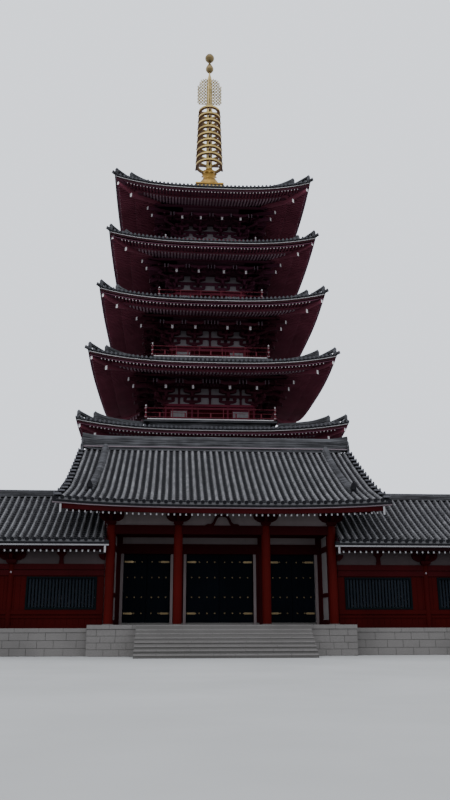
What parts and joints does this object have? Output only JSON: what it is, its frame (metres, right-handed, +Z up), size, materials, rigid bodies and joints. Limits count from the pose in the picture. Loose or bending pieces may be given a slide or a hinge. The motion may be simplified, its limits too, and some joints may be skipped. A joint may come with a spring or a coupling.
{
  "type": "half-scale five-storey pagoda with front hall",
  "caption": "Tiered tower with curved hipped roofs and a ringed spire, on a stone podium, with a gabled front hall, hinged double doors and low side wings.",
  "frame": {"origin": "centre of the podium's underside, on the tower's vertical axis at ground level", "axes": "+Z up along the tower, +Y from the front hall towards the tower, +X to the right as seen from the front"},
  "size_m": [17.35, 15.4511, 26.66],
  "materials": {
    "stone": "honed granite",
    "red_timber": "vermilion paint",
    "maroon_timber": "dark red paint",
    "plaster": "lime plaster",
    "roof_tile": "grey tile",
    "gilt_metal": "dull gilt",
    "door_paint": "near-black paint"
  },
  "bodies": {
    "building": {"podium": "stone", "stone_platform": "stone", "front_steps": "stone", "hall_column_1": "red_timber", "hall_column_2": "red_timber", "hall_column_3": "red_timber", "hall_column_4": "red_timber", "storey_2_veranda": "red_timber", "storey_3_veranda": "red_timber", "storey_4_veranda": "red_timber", "storey_5_veranda": "red_timber", "hall_front_beam": "maroon_timber", "door_pier_left": "maroon_timber", "door_pier_right": "maroon_timber", "door_head_wall": "maroon_timber", "storey_1_walls": "maroon_timber", "storey_2_walls": "maroon_timber", "storey_3_walls": "maroon_timber", "storey_4_walls": "maroon_timber", "storey_5_walls": "maroon_timber", "storey_1_brackets": "maroon_timber", "storey_2_brackets": "maroon_timber", "storey_3_brackets": "maroon_timber", "storey_4_brackets": "maroon_timber", "storey_5_brackets": "maroon_timber", "hall_left_wall": "plaster", "hall_right_wall": "plaster", "hall_back_wall": "plaster", "wing_left_front_wall": "plaster", "wing_left_back_wall": "plaster", "wing_left_end_wall": "plaster", "wing_right_front_wall": "plaster", "wing_right_back_wall": "plaster", "wing_right_end_wall": "plaster", "hall_roof": "roof_tile", "wing_left_roof": "roof_tile", "wing_right_roof": "roof_tile", "storey_1_roof": "roof_tile", "storey_2_roof": "roof_tile", "storey_3_roof": "roof_tile", "storey_4_roof": "roof_tile", "storey_5_roof": "roof_tile", "finial_base": "gilt_metal", "finial_pole": "gilt_metal", "finial_rings": "gilt_metal", "finial_flame": "gilt_metal"},
    "left_door_leaf_1": {"left_door_leaf_1": "door_paint"},
    "left_door_leaf_2": {"left_door_leaf_2": "door_paint"},
    "centre_door_leaf_1": {"centre_door_leaf_1": "door_paint"},
    "centre_door_leaf_2": {"centre_door_leaf_2": "door_paint"},
    "right_door_leaf_1": {"right_door_leaf_1": "door_paint"},
    "right_door_leaf_2": {"right_door_leaf_2": "door_paint"}
  },
  "joints": [
    {"name": "left_door_leaf_1_hinge", "type": "hinge", "parent": "building", "child": "left_door_leaf_1", "pos_m": [-2.685, -7.9, 0.82], "axis": [0, 0, 1], "range_deg": [0, 90]},
    {"name": "left_door_leaf_2_hinge", "type": "hinge", "parent": "building", "child": "left_door_leaf_2", "pos_m": [-1.425, -7.9, 0.82], "axis": [0, 0, -1], "range_deg": [0, 90]},
    {"name": "centre_door_leaf_1_hinge", "type": "hinge", "parent": "building", "child": "centre_door_leaf_1", "pos_m": [-0.92, -7.9, 0.82], "axis": [0, 0, 1], "range_deg": [0, 90]},
    {"name": "centre_door_leaf_2_hinge", "type": "hinge", "parent": "building", "child": "centre_door_leaf_2", "pos_m": [0.92, -7.9, 0.82], "axis": [0, 0, -1], "range_deg": [0, 90]},
    {"name": "right_door_leaf_1_hinge", "type": "hinge", "parent": "building", "child": "right_door_leaf_1", "pos_m": [1.425, -7.9, 0.82], "axis": [0, 0, 1], "range_deg": [0, 90]},
    {"name": "right_door_leaf_2_hinge", "type": "hinge", "parent": "building", "child": "right_door_leaf_2", "pos_m": [2.685, -7.9, 0.82], "axis": [0, 0, -1], "range_deg": [0, 90]}
  ]
}
